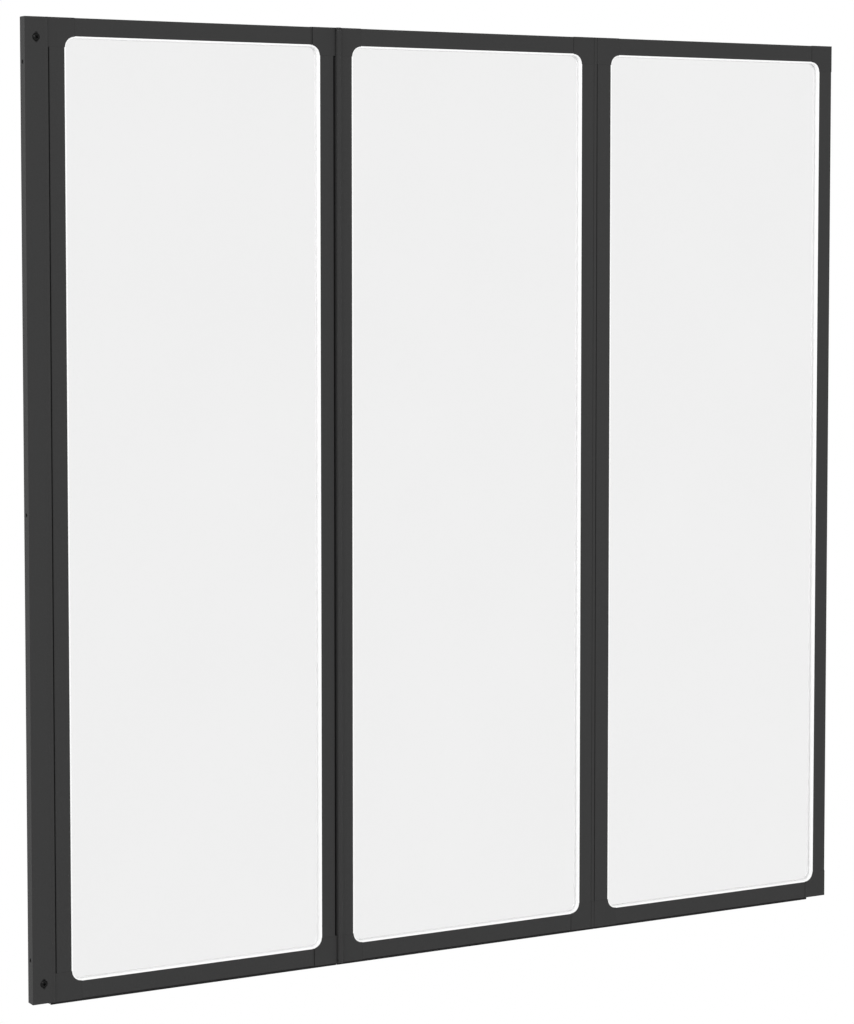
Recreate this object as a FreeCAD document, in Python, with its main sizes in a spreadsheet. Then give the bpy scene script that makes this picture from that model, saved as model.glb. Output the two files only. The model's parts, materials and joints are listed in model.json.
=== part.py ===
import FreeCAD, Part
import math
import os
import re
import Sketcher

# Folding bath screen: a wall channel with a hinge post, and three glazed panels that fold like a Z.
# +X runs from the wall to the free edge, -Y faces the room, +Z is up.
# The origin is on the wall face of the channel, at the middle of its height and depth.

doc = FreeCAD.newDocument("folding_bath_screen")
Vector = FreeCAD.Vector

# Driving dimensions in millimetres: text for the sheet's cell, and what the cell holds
driving = {
    "frame_height": ("1297", "wall channel and panels, without the drip seal"),
    "frame_depth": ("16", "corner pieces and wall channel, front to back, without its raised edge"),
    "wall_axis": ("28", "wall face to the wall hinge's axis"),
    "opening_width": ("375", "glass seen in each panel, edge to edge"),
    "stile_width": ("23", "opening to the outer edge of a corner with ears"),
    "hinge_stile_width": ("25.4", "opening to the outer edge of a stile with a barrel"),
    "free_stile_width": ("22.3", "opening to the free edge of the outer panel"),
    "rail_height": ("24", "opening to the top or bottom of a corner piece"),
    "corner_radius": ("14.5", "rounding of the opening's corners"),
    "corner_proud": ("0.3", "step from a corner piece down to a rail or stile"),
    "corner_ease": ("0.4", "rounding of a corner piece's edges"),
    "edge_ease": ("0.4", "bevel on the long edges of the extrusions"),
    "corner_lip": ("0.7", "corner piece's opening edge inside the rails' and stiles'"),
    "rail_fit": ("0.1", "rail to its corner pieces, each end"),
    "rail_play": ("0.4", "more play at the right ends of the middle and outer panels' rails"),
    "joint_inset": ("1.25", "shadow groove from the rail's end, on the inner panel's right corners"),
    "joint_width": ("1.5", "the same groove"),
    "joint_depth": ("1.3", "the same groove"),
    "wall": ("1.4", "wall of the rails, stiles and post"),
    "glazing_depth": ("10", "depth of the channel that takes the gasket"),
    "glass_thickness": ("3", "pane"),
    "glass_bite": ("7", "pane edge behind the opening's edge"),
    "gasket_lip": ("3.2", "gasket seen inside the opening"),
    "gasket_clear": ("0.1", "gasket to the frame around it, each side"),
    "gasket_sink": ("0.3", "gasket's lips below the faces of the rails and stiles"),
    "axis_out": ("1", "hinge axis in front of the face it folds over"),
    "barrel_radius": ("4", "hinge barrel"),
    "barrel_bore": ("1.5", "hollow of the extruded barrels"),
    "seam": ("0.3", "corner piece to the member it hinges on"),
    "inner_relief": ("1.7", "stiles of the inner panel set back from their corner pieces"),
    "outer_relief": ("0.6", "the same for the hinged stile of the outer panel"),
    "stile_cove": ("7.4", "cove in a stile around the barrel that faces it"),
    "web_slope": ("3", "slope from the face of a stile up to its barrel"),
    "spigot_length": ("22", "corner spigot inside a rail or stile"),
    "spigot_root": ("2", "spigot sunk in its own corner block"),
    "spigot_clear": ("0.15", "spigot to the chamber it fills, each side"),
    "ear_thickness": ("3", "ear that holds a hinge pin"),
    "ear_gap": ("0.3", "ear to the bush under it"),
    "ear_swing": ("0.4", "ear to the notch it turns in"),
    "pin_radius": ("2", "hinge pin"),
    "pin_short": ("1", "pin end above the bush's end"),
    "running_clear": ("0.05", "pin to bush, radial"),
    "bush_radius": ("3", "bush, outside"),
    "bush_length": ("24", "bush below its flange"),
    "flange_radius": ("3.8", "bush flange"),
    "flange_thickness": ("1", "bush flange"),
    "bead_inset": ("5", "fine groove from the edge of a stile with a barrel"),
    "bead_width": ("0.7", "fine groove"),
    "bead_depth": ("0.4", "fine groove"),
    "seal_width": ("5", "seam seal, along the stile's depth"),
    "seal_start": ("0.5", "seam seal from the middle of the depth"),
    "seal_seat": ("1", "seam seal sunk in the stile's edge"),
    "seal_clear": ("0.35", "seam seal to the member it closes on"),
    "drip_drop": ("3", "drip seal below the corner pieces"),
    "drip_width": ("14.4", "drip seal blade, front to back"),
    "drip_taper": ("1.5", "bevel under the drip seal's blade"),
    "drip_start": ("25.5", "wall face to the drip seal of the inner panel"),
    "drip_end": ("11.5", "drip seal of the outer panel, short of the opening's right edge"),
    "drip_slot": ("3.2", "slot under the bottom rail"),
    "drip_clear": ("0.1", "drip seal to the slot and to the corner pieces"),
    "drip_head_width": ("6", "head that keeps the drip seal in its slot"),
    "drip_head_height": ("1.6", "the same head"),
    "lip_width": ("4.3", "raised edge of the front flange, with the slope up to it"),
    "lip_slope": ("2.4", "the same slope"),
    "lip_rise": ("1.2", "raised edge in front of the flange's face"),
    "back_flange": ("23", "wall channel, back flange"),
    "channel_wall": ("1.6", "wall channel's flanges and web"),
    "post_start": ("10", "wall face to the post inside the channel"),
    "post_clear": ("0.2", "post to each flange"),
    "post_ease": ("1", "bevel on the post's front edge"),
    "block_lift": ("0.4", "post block short of the channel's end"),
    "wall_hole_radius": ("2.75", "holes for the wall screws"),
    "wall_hole_inset": ("58.5", "outer wall screws from the channel's ends"),
    "lock_across": ("16", "wall face to the lock screws"),
    "lock_inset": ("26.5", "lock screws from the channel's ends"),
    "lock_head": ("5", "lock screw head radius"),
    "lock_sink": ("0.5", "lock screw head below the channel's face"),
    "lock_radius": ("2", "lock screw shank radius"),
    "lock_length": ("9", "lock screw from its head"),
    "lock_slot": ("7.1", "half length of the slot behind a lock screw's head, in the front flange"),
    "lock_slot_radius": ("2.1", "ends of the same slot"),
    "screw_head": ("2.9", "corner screw head radius"),
    "screw_radius": ("1.5", "corner screw shank radius"),
    "screw_length": ("8", "corner screw shank below its wall"),
    "screw_inset": ("10", "corner screw from the end of its rail or stile"),
    "recess_width": ("0.22", "cross recess arm, as a share of the head radius"),
    "recess_reach": ("0.62", "cross recess arm, as a share of the head radius"),
    "recess_depth": ("0.4", "cross recess depth, as a share of the head radius"),
}

# Values that follow from the driving dimensions
derived = {
    "half_height": "frame_height / 2",
    "half_depth": "frame_depth / 2",
    "axis_depth": "half_depth + axis_out",
    "profile_half": "half_depth - corner_proud",
    "channel_half": "profile_half - wall",
    "rail_out": "rail_height - corner_proud",
    "chamber_start": "glazing_depth + wall",
    "edge_inset": "stile_width + barrel_radius + seam",
    "barrel_inset": "hinge_stile_width - barrel_radius",
    "cove_reach": "sqrt((stile_cove + wall)^2 - (axis_out + corner_proud + wall)^2)",
    "edge_chamber_end": "edge_inset - cove_reach",
    "barrel_chamber_end": "hinge_stile_width - wall",
    "free_chamber_end": "free_stile_width - corner_proud - wall",
    "middle_axis": "wall_axis + 2 * edge_inset + opening_width",
    "outer_axis": "middle_axis + 2 * barrel_inset + opening_width",
    "inner_left": "wall_axis + edge_inset",
    "inner_right": "inner_left + opening_width",
    "middle_left": "middle_axis + barrel_inset",
    "middle_right": "middle_left + opening_width",
    "outer_left": "outer_axis + edge_inset",
    "outer_right": "outer_left + opening_width",
    "opening_top": "half_height - rail_height",
    "corner_height": "rail_height + corner_radius",
    "stile_length": "frame_height - 2 * corner_height",
    "rail_length": "opening_width - 2 * (corner_radius + rail_fit)",
    "ear_stack": "ear_thickness + ear_gap + flange_thickness",
    "wall_hole_outer": "half_height - wall_hole_inset",
    "post_half": "half_depth - channel_wall - post_clear",
    "post_end": "wall_axis + barrel_radius",
    "lip_start": "post_end - lip_width",
    "lock_cone": "lock_head + lock_sink",
    "lock_reach": "lock_cone - lock_radius + lock_length",
    "stem_half": "rail_length / 2 - spigot_length - spigot_root",
}

sheet = doc.addObject("Spreadsheet::Sheet", "Sizes")
for row, (alias, (text, note)) in enumerate(driving.items(), start=1):
    sheet.set("A%d" % row, note)
    sheet.set("B%d" % row, text)
    sheet.setAlias("B%d" % row, alias)
for row, (alias, formula) in enumerate(derived.items(), start=len(driving) + 1):
    sheet.set("B%d" % row, "=" + formula)
    sheet.setAlias("B%d" % row, alias)
doc.recompute()

known = set(driving) | set(derived)
parts = {}


def named(formula):
    # a formula of sheet names, in the form that an object's expression takes
    return re.sub(r"[a-z_]+", lambda m: "Sizes." + m.group() if m.group() in known else m.group(), formula)


def value(formula):
    return float(sheet.evalExpression(named(formula)))


def bind(item, prop, formula):
    item.setExpression(prop, named(formula))


def place(item, x="0", y="0", z="0"):
    for name, formula in (("x", x), ("y", y), ("z", z)):
        bind(item, "Placement.Base." + name, formula)


def keep(label, item):
    item.Label = label
    parts[label] = item


# Part primitives

def box(name, x, y, z):
    item = doc.addObject("Part::Box", name)
    for prop, (low, high) in (("Length", x), ("Width", y), ("Height", z)):
        bind(item, prop, "(%s) - (%s)" % (high, low))
    place(item, x[0], y[0], z[0])
    return item


along_y = FreeCAD.Rotation(Vector(1, 0, 0), -90)
upright = FreeCAD.Rotation()


def cylinder(name, radius, base, length, turned=upright):
    item = doc.addObject("Part::Cylinder", name)
    item.Placement = FreeCAD.Placement(Vector(0, 0, 0), turned)
    bind(item, "Radius", radius)
    bind(item, "Height", length)
    place(item, *base)
    return item


def cone(name, first, second, base, length, turned=upright):
    item = doc.addObject("Part::Cone", name)
    item.Placement = FreeCAD.Placement(Vector(0, 0, 0), turned)
    bind(item, "Radius1", first)
    bind(item, "Radius2", second)
    bind(item, "Height", length)
    place(item, *base)
    return item


def wedge(name, low_x, high_x, y, z):
    # a block whose span in x changes from one end of y to the other
    item = doc.addObject("Part::Wedge", name)
    ends = {"Xmin": low_x[0], "Xmax": low_x[1], "X2min": high_x[0], "X2max": high_x[1], "Ymin": y[0],
            "Ymax": y[1], "Zmin": z[0], "Zmax": z[1], "Z2min": z[0], "Z2max": z[1]}
    for prop, formula in ends.items():
        bind(item, prop, formula)
    return item


def eased_box(name, x, y, z, ease):
    # a block with all its edges rounded
    body = doc.addObject("PartDesign::Body", name)
    block = body.newObject("PartDesign::AdditiveBox", name + "_block")
    for prop, (low, high) in (("Length", x), ("Width", y), ("Height", z)):
        bind(block, prop, "(%s) - (%s)" % (high, low))
    doc.recompute()
    rounding = body.newObject("PartDesign::Fillet", name + "_rounding")
    rounding.Base = (block, [""])
    rounding.UseAllEdges = True
    bind(rounding, "Radius", ease)
    place(body, x[0], y[0], z[0])
    return body


def fuse(name, pieces):
    item = doc.addObject("Part::MultiFuse", name)
    item.Shapes = pieces
    item.Refine = True
    return item


def cut(name, base, tools):
    item = doc.addObject("Part::Cut", name)
    item.Base = base
    item.Tool = tools[0] if len(tools) == 1 else fuse(name + "_tools", tools)
    item.Refine = True
    return item


def group(label, pieces):
    item = doc.addObject("Part::Compound", label)
    item.Links = pieces
    keep(label, item)


# Sketches and sketched features

def sketch_on(body, role):
    plane = next(f for f in body.Origin.OriginFeatures if f.Role == role)
    sketch = body.newObject("Sketcher::SketchObject", body.Name + "_sketch")
    sketch.AttachmentSupport = [(plane, "")]
    sketch.MapMode = "FlatFace"
    return sketch


def constrain(sketch, formula, *constraint):
    index = sketch.addConstraint(Sketcher.Constraint(*constraint, value(formula)))
    bind(sketch, "Constraints[%d]" % index, formula)


def polygon(sketch, points):
    # a closed loop of straight lines, each corner tied to the sheet by its two coordinates
    places = [Vector(value(a), value(b), 0) for a, b in points]
    first = sketch.GeometryCount
    last = first + len(points) - 1
    for here, there in zip(places, places[1:] + places[:1]):
        sketch.addGeometry(Part.LineSegment(here, there), False)
    for line in range(first, last + 1):
        following = first if line == last else line + 1
        sketch.addConstraint(Sketcher.Constraint("Coincident", line, 2, following, 1))
    for line, (a, b) in enumerate(points, start=first):
        constrain(sketch, a, "DistanceX", -1, 1, line, 1)
        constrain(sketch, b, "DistanceY", -1, 1, line, 1)


def circle(sketch, across, up, radius):
    centre = Vector(value(across), value(up), 0)
    ring = sketch.addGeometry(Part.Circle(centre, Vector(0, 0, 1), value(radius)), False)
    constrain(sketch, radius, "Radius", ring)
    constrain(sketch, across, "DistanceX", -1, 1, ring, 3)
    constrain(sketch, up, "DistanceY", -1, 1, ring, 3)


def rounded_rectangle(sketch, half_width, half_height, radius):
    # four sides and four corner arcs about the sketch's origin
    w, h, r = value(half_width), value(half_height), value(radius)
    turns = ((1, 1, 0), (-1, 1, 90), (-1, -1, 180), (1, -1, 270))
    first = sketch.GeometryCount
    for across, up, start in turns:
        centre = Vector(across * (w - r), up * (h - r), 0)
        rim = Part.Circle(centre, Vector(0, 0, 1), r)
        arc = Part.ArcOfCircle(rim, math.radians(start), math.radians(start + 90))
        sketch.addGeometry(arc, False)
    ends = [(sketch.getPoint(first + n, 2), sketch.getPoint(first + (n + 1) % 4, 1)) for n in range(4)]
    for here, there in ends:
        sketch.addGeometry(Part.LineSegment(here, there), False)
    for n in range(4):
        arc, side, following = first + n, first + 4 + n, first + (n + 1) % 4
        sketch.addConstraint(Sketcher.Constraint("Tangent", arc, 2, side, 1))
        sketch.addConstraint(Sketcher.Constraint("Tangent", side, 2, following, 1))
        sketch.addConstraint(Sketcher.Constraint("Horizontal" if n % 2 == 0 else "Vertical", side))
        if n:
            sketch.addConstraint(Sketcher.Constraint("Equal", first, arc))
    constrain(sketch, radius, "Radius", first)
    constrain(sketch, half_height, "DistanceY", -1, 1, first + 4, 1)
    constrain(sketch, "-(%s)" % half_width, "DistanceX", -1, 1, first + 5, 1)
    constrain(sketch, "-(%s)" % half_height, "DistanceY", -1, 1, first + 6, 1)
    constrain(sketch, half_width, "DistanceX", -1, 1, first + 7, 1)


def feature(body, kind, sketch, length):
    # a pad or pocket, half of it on each side of its sketch
    before = body.Shape.Volume if kind == "Pocket" else 0
    item = body.newObject("PartDesign::" + kind, body.Name + "_" + kind.lower())
    item.Profile = sketch
    item.SideType = "Symmetric"
    bind(item, "Length", length)
    doc.recompute()
    if kind == "Pocket" and not body.Shape.Volume < before:
        raise RuntimeError(body.Name + ": a pocket removed nothing")


# Spans along an axis: from an origin, outwards in the direction of a sign

front, back = -1, 1
left, right = -1, 1
bottom, top = -1, 1
hand_names = {left: "left", right: "right"}
end_names = {bottom: "bottom", top: "top"}


def spot(origin, sign, offset):
    return "%s %s (%s)" % (origin, "+" if sign > 0 else "-", offset)


def span(origin, sign, low, high):
    ends = (spot(origin, sign, low), spot(origin, sign, high))
    return ends if sign > 0 else ends[::-1]


def both_ways(half):
    return ("-(%s)" % half, half)


def rod(name, radius, x, y, heights):
    return cylinder(name, radius, (x, y, heights[0]), "(%s) - (%s)" % (heights[1], heights[0]))


# Countersunk screws with a cross recess, pointing front or back from a face at y

def screw(name, x, y, z, points, head, shank, length):
    neck = "%s - %s" % (head, shank)
    cone_span = span(y, points, "0", neck)
    radii = (head, shank) if points == back else (shank, head)
    cap = cone(name + "_head", *radii, (x, cone_span[0], z), neck, along_y)
    shank_span = span(y, points, neck, "%s + %s" % (neck, length))
    stem = cylinder(name + "_shank", shank, (x, shank_span[0], z), length, along_y)
    solid = fuse(name + "_solid", [cap, stem])
    arm, half_arm = "%s * recess_reach" % head, "%s * recess_width" % head
    arms = []
    for number, (across, up) in enumerate(((arm, half_arm), (half_arm, arm))):
        arms.append(box("%s_recess_%d" % (name, number), (spot(x, -1, across), spot(x, 1, across)),
                        span(y, points, "0", "%s * recess_depth" % head), (spot(z, -1, up), spot(z, 1, up))))
    return cut(name, solid, arms)


# Wall channel, post and lock screws

def lock_height(end):
    return spot("0", end, "half_height - lock_inset")


def lock_seat(owner, end):
    # what a lock screw needs cut away: its head's cone and its shank
    name = "%s_%s_lock" % (owner, end_names[end])
    base = ("lock_across", "-half_depth", lock_height(end))
    return [
        cone(name + "_sink", "lock_cone", "lock_radius", base, "lock_cone - lock_radius", along_y),
        cylinder(name + "_hole", "lock_radius", base, "lock_reach", along_y)]


def lock_slot(end):
    # the upright slot in the front flange that a lock screw is set through
    name = "channel_%s_slot" % end_names[end]
    x, z = "lock_across", lock_height(end)
    straight = "lock_slot - lock_slot_radius"
    flange = ("-half_depth", "-half_depth + channel_wall")
    pieces = [box(name + "_middle", (spot(x, -1, "lock_slot_radius"), spot(x, 1, "lock_slot_radius")), flange,
                  (spot(z, -1, straight), spot(z, 1, straight)))]
    for way in (-1, 1):
        pieces.append(cylinder("%s_%s" % (name, end_names[way]), "lock_slot_radius",
                               (x, flange[0], spot(z, way, straight)), "channel_wall", along_y))
    return pieces


def wall_channel():
    # the front flange covers the post to its end
    body = doc.addObject("PartDesign::Body", "wall_channel_body")
    section = sketch_on(body, "XY_Plane")
    inner_front, inner_back = "-half_depth + channel_wall", "half_depth - channel_wall"
    polygon(section, [
        ("0", "-half_depth"), ("lip_start", "-half_depth"),
        ("lip_start + lip_slope", "-half_depth - lip_rise"),
        ("post_end - edge_ease", "-half_depth - lip_rise"),
        ("post_end", "-half_depth - lip_rise + edge_ease"), ("post_end", inner_front),
        ("channel_wall", inner_front), ("channel_wall", inner_back),
        ("back_flange", inner_back), ("back_flange", "half_depth - edge_ease"),
        ("back_flange - edge_ease", "half_depth"), ("0", "half_depth")])
    feature(body, "Pad", section, "frame_height")
    holes = sketch_on(body, "YZ_Plane")
    for height in ("wall_hole_outer", "0", "-wall_hole_outer"):
        circle(holes, "0", height, "wall_hole_radius")
    feature(body, "Pocket", holes, "4 * channel_wall")
    keep("wall_channel", cut("wall_channel", body, [
        tool for end in (top, bottom) for tool in lock_seat("channel", end) + lock_slot(end)]))


def lock_screws():
    face = "-half_depth + lock_sink"
    group("lock_screws", [
        screw(end_names[end] + "_lock_screw", "lock_across", face, lock_height(end), back,
              "lock_head", "lock_radius", "lock_length") for end in (top, bottom)])


def extruded_barrel(body, across, depth):
    for kind, radius in (("Pad", "barrel_radius"), ("Pocket", "barrel_bore")):
        rim = sketch_on(body, "XY_Plane")
        circle(rim, across, depth, radius)
        feature(body, kind, rim, "stile_length")


# the front of the post and of its blocks, inside the front flange
post_front = [
    ("post_start", "-post_half"), ("post_end - post_ease", "-post_half"),
    ("post_end", "-post_half + post_ease")]


def hinge_post():
    body = doc.addObject("PartDesign::Body", "hinge_post")
    section = sketch_on(body, "XY_Plane")
    polygon(section, post_front + [
        ("post_end", "axis_depth"), ("post_end - 2 * barrel_radius", "axis_depth"),
        ("post_end - 2 * barrel_radius", "post_half"), ("post_start", "post_half")])
    polygon(section, [
        ("post_start + wall", "-post_half + wall"), ("post_end - wall", "-post_half + wall"),
        ("post_end - wall", "post_half - wall"), ("post_start + wall", "post_half - wall")])
    feature(body, "Pad", section, "stile_length")
    extruded_barrel(body, "wall_axis", "axis_depth")
    keep("hinge_post", body)


def knuckle(name, axis, side, seam_way, end):
    # the barrel's end in a moulded piece: what is added, and what is cut for the bush and the ear above it
    depth = spot("0", side, "axis_depth")
    height = span("0", end, "half_height - corner_height", "half_height - ear_stack")
    above = span("0", end, "half_height - ear_stack", "half_height + ear_stack")
    bush_room = span("0", end, "half_height - ear_stack - bush_length", "half_height + ear_stack")
    swing = "barrel_radius + ear_swing"
    added = [
        rod(name + "_barrel", "barrel_radius", axis, depth, height),
        box(name + "_web", span(axis, seam_way, "-barrel_radius", "barrel_radius"),
            span("0", side, "half_depth - barrel_radius", "axis_depth"), height)]
    removed = [
        box(name + "_notch", span(axis, seam_way, "-(%s)" % swing, swing),
            span("0", side, "axis_depth - (%s)" % swing, "axis_depth + %s" % swing), above),
        rod(name + "_bush_room", "bush_radius", axis, depth, bush_room)]
    return added, removed


def post_block(end):
    name = "post_%s_block" % end_names[end]
    seat = "half_height - corner_height"
    root = span("0", end, seat + " - spigot_length", seat + " + spigot_root")
    added, removed = knuckle(name, "wall_axis", back, right, end)
    block = doc.addObject("PartDesign::Body", name + "_body")
    section = sketch_on(block, "XY_Plane")
    polygon(section, post_front + [("post_end", "post_half"), ("post_start", "post_half")])
    feature(block, "Pad", section, "corner_height - block_lift")
    place(block, z=spot("0", end, "half_height - (corner_height + block_lift) / 2"))
    spigot = box(name + "_spigot", ("post_start + wall + spigot_clear", "post_end - wall - spigot_clear"),
                 both_ways("post_half - wall - spigot_clear"), root)
    solid = fuse(name + "_solid", [block, spigot] + added)
    keep(name, cut(name, solid, removed + lock_seat(name, end)))


# Panel pieces. Across a panel, distances run outwards from the edge of its opening.

outer_edge = {"ears": "stile_width", "barrel": "hinge_stile_width", "free": "free_stile_width"}
chamber_end = {"ears": "edge_chamber_end", "barrel": "barrel_chamber_end", "free": "free_chamber_end"}
# the back wall that the corner screws go through ends sooner beside a barrel
screw_zone_end = dict(chamber_end, barrel="barrel_inset - barrel_radius")


def stile(panel, hand, kind, side, relief):
    name = "%s_%s_stile" % (panel, hand_names[hand])
    origin = "%s_%s" % (panel, hand_names[hand])
    width = {"ears": "stile_width - " + relief, "barrel": "hinge_stile_width",
             "free": "free_stile_width - corner_proud"}[kind]
    lip = [("edge_ease", "profile_half"), ("0", "profile_half - edge_ease"), ("0", "channel_half"),
           ("glazing_depth", "channel_half"), ("glazing_depth", "-channel_half"),
           ("0", "-channel_half"), ("0", "-profile_half + edge_ease"), ("edge_ease", "-profile_half")]
    far_edge = [(width + " - edge_ease", "-profile_half"), (width, "-profile_half + edge_ease")]
    if kind == "barrel":
        groove_low, groove_high = width + " - bead_inset - bead_width", width + " - bead_inset"
        floor = "-profile_half + bead_depth"
        outline = lip + [
            (groove_low, "-profile_half"), (groove_low, floor),
            (groove_high, floor), (groove_high, "-profile_half"),
            *far_edge, (width, "axis_depth"), (width + " - 2 * barrel_radius", "axis_depth"),
            (width + " - 2 * barrel_radius - web_slope", "profile_half")]
    elif kind == "ears":
        seat = width + " - seal_seat"
        outline = lip + [
            *far_edge, (width, "-seal_start - seal_width"), (seat, "-seal_start - seal_width"),
            (seat, "-seal_start"), (width, "-seal_start"), (width, "profile_half")]
    else:
        outline = lip + far_edge + [
            (width, "profile_half - edge_ease"), (width + " - edge_ease", "profile_half")]
    chamber = [("chamber_start", "-channel_half"), (chamber_end[kind], "-channel_half"),
               (chamber_end[kind], "channel_half"), ("chamber_start", "channel_half")]
    body = doc.addObject("PartDesign::Body", name + "_body")
    section = sketch_on(body, "XY_Plane")
    for loop in (outline, chamber):
        polygon(section, [(spot("0", hand, across), spot("0", side, depth)) for across, depth in loop])
    feature(body, "Pad", section, "stile_length")
    depth = spot("0", side, "axis_depth")
    if kind == "barrel":
        extruded_barrel(body, spot("0", hand, "barrel_inset"), depth)
    if kind == "ears":
        cove = sketch_on(body, "XY_Plane")
        circle(cove, spot("0", hand, "edge_inset"), depth, "stile_cove")
        feature(body, "Pocket", cove, "stile_length")
    place(body, x=origin)
    keep(name, cut(name, body, [
        screw_sink("%s_%s_sink" % (name, end_names[end]), stile_screw(panel, end, hand, kind))
        for end in (top, bottom)]))


def rail(panel, end):
    name = "%s_%s_rail" % (panel, end_names[end])
    lip = [("-profile_half", "edge_ease"), ("-profile_half + edge_ease", "0"), ("-channel_half", "0"),
           ("-channel_half", "glazing_depth"), ("channel_half", "glazing_depth"),
           ("channel_half", "0"), ("profile_half - edge_ease", "0"), ("profile_half", "edge_ease")]
    back_edge = [("profile_half", "rail_out - edge_ease"), ("profile_half - edge_ease", "rail_out")]
    front_edge = [("-profile_half + edge_ease", "rail_out"), ("-profile_half", "rail_out - edge_ease")]
    chamber = [("channel_half", "rail_out - wall"), ("channel_half", "chamber_start"),
               ("-channel_half", "chamber_start"), ("-channel_half", "rail_out - wall")]
    if end == top:
        loops = [lip + back_edge + front_edge, chamber]
    else:
        # the slot of the drip seal opens the chamber
        slot = [("drip_slot / 2", "rail_out"), ("drip_slot / 2", "rail_out - wall")]
        other = [("-drip_slot / 2", "rail_out - wall"), ("-drip_slot / 2", "rail_out")]
        loops = [lip + back_edge + slot + chamber + other + front_edge]
    body = doc.addObject("PartDesign::Body", name + "_body")
    section = sketch_on(body, "YZ_Plane")
    for loop in loops:
        polygon(section, [(depth, spot("0", end, up)) for depth, up in loop])
    play = "0" if panel == "inner" else "rail_play"
    feature(body, "Pad", section, "rail_length - " + play)
    place(body, x="%s_left + (opening_width - %s) / 2" % (panel, play), z=spot("0", end, "opening_top"))
    keep(name, cut(name, body, [
        screw_sink("%s_%s_sink" % (name, hand_names[hand]), rail_screw(panel, end, hand))
        for hand in (left, right)]))


def corner(panel, end, hand, kind, side):
    name = "%s_%s_%s_corner" % (panel, end_names[end], hand_names[hand])
    origin = "%s_%s" % (panel, hand_names[hand])

    def across(low, high):
        return span(origin, hand, low, high)

    def up(low, high):
        return span(spot("0", end, "opening_top"), end, low, high)

    spigot_depth = both_ways("channel_half - spigot_clear")
    stile_spigot_depth = spigot_depth
    if kind == "barrel":
        # the barrel bulges into the stile's chamber
        stile_spigot_depth = span("0", side, "-channel_half + spigot_clear",
                                  "axis_depth - barrel_radius - spigot_clear")
    added = [
        eased_box(name + "_body", across("-corner_radius", outer_edge[kind]), both_ways("half_depth"),
                  up("-corner_radius", "rail_height"), "corner_ease"),
        box(name + "_rail_spigot", across("-corner_radius - spigot_length", "-corner_radius + spigot_root"),
            spigot_depth, up("chamber_start + spigot_clear", "rail_out - wall - spigot_clear")),
        box(name + "_stile_spigot",
            across("chamber_start + spigot_clear", chamber_end[kind] + " - spigot_clear"),
            stile_spigot_depth, up("-corner_radius - spigot_length", "-corner_radius + spigot_root"))]
    arc_x = spot(origin, hand, "-corner_radius")
    arc_z = spot(spot("0", end, "opening_top"), end, "-corner_radius")
    removed = [
        cylinder(name + "_opening", "corner_radius - corner_lip", (arc_x, "-frame_depth", arc_z),
                 "2 * frame_depth", along_y),
        cylinder(name + "_glazing", "corner_radius + glazing_depth", (arc_x, "-channel_half", arc_z),
                 "2 * channel_half", along_y)]
    if kind == "barrel":
        axis = spot(origin, hand, "barrel_inset")
        more, less = knuckle(name, axis, side, hand, end)
        groove = box(name + "_groove", across("hinge_stile_width - bead_inset - bead_width",
                                              "hinge_stile_width - bead_inset"),
                     span("0", -side, "half_depth - bead_depth", "half_depth + bead_depth"),
                     up("-2 * corner_radius", "2 * rail_height"))
        foot = span(axis, -hand, "0", "barrel_radius + web_slope")
        crest = span(axis, -hand, "0", "barrel_radius")
        rise = span("0", side, "profile_half", "axis_depth")
        low_x, high_x = (foot, crest) if side == back else (crest, foot)
        slope = wedge(name + "_slope", low_x, high_x, rise,
                      span("0", end, "half_height - corner_height", "half_height - ear_stack"))
        added += more + [slope]
        removed += less + [groove]
    if kind == "ears":
        axis = spot(origin, hand, "edge_inset")
        depth = spot("0", side, "axis_depth")
        ear = up("rail_height - ear_thickness", "rail_height")
        added += [
            rod(name + "_ear", "barrel_radius", axis, depth, ear),
            box(name + "_bridge", across("stile_width - barrel_radius", "edge_inset"),
                span("0", side, "axis_depth - barrel_radius", "half_depth"), ear)]
        removed.append(rod(name + "_pin_hole", "pin_radius", axis, depth,
                           up("rail_height - 2 * ear_thickness", "rail_height + ear_thickness")))
    if panel == "inner" and hand == right:
        groove_start = "-corner_radius + joint_inset"
        removed.append(box(name + "_joint", across(groove_start, groove_start + " + joint_width"),
                           ("-half_depth - joint_depth", "-half_depth + joint_depth"),
                           up("-corner_radius", "2 * rail_height")))
    for number, (x, z) in enumerate((rail_screw(panel, end, hand), stile_screw(panel, end, hand, kind))):
        removed.append(cylinder("%s_pilot_%d" % (name, number), "screw_radius",
                                (x, "channel_half - screw_length", z), "screw_length", along_y))
    keep(name, cut(name, fuse(name + "_solid", added), removed))


def rail_screw(panel, end, hand):
    # where the screw is that holds a rail's end on its corner piece
    x = spot("%s_%s" % (panel, hand_names[hand]), -hand, "corner_radius + screw_inset")
    z = spot(spot("0", end, "opening_top"), end, "(chamber_start + rail_out - wall) / 2")
    return x, z


def stile_screw(panel, end, hand, kind):
    x = spot("%s_%s" % (panel, hand_names[hand]), hand, "(chamber_start + %s) / 2" % screw_zone_end[kind])
    z = spot("0", end, "stile_length / 2 - screw_inset")
    return x, z


def screw_sink(name, at):
    # the countersunk hole in the back wall of a rail or stile
    x, z = at
    return cone(name, "screw_head - wall", "screw_head", (x, "channel_half", z), "wall", along_y)


def corner_screws(panel, kinds):
    places = []
    for end in (top, bottom):
        for hand in (left, right):
            places += [rail_screw(panel, end, hand), stile_screw(panel, end, hand, kinds[hand])]
    group(panel + "_corner_screws", [
        screw("%s_corner_screw_%d" % (panel, number), x, "profile_half", z, front,
              "screw_head", "screw_radius", "screw_length")
        for number, (x, z) in enumerate(places)])


def glazing_outline(sketch, grow):
    rounded_rectangle(sketch, "opening_width / 2 + " + grow, "opening_top + " + grow,
                      "corner_radius + " + grow)


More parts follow.
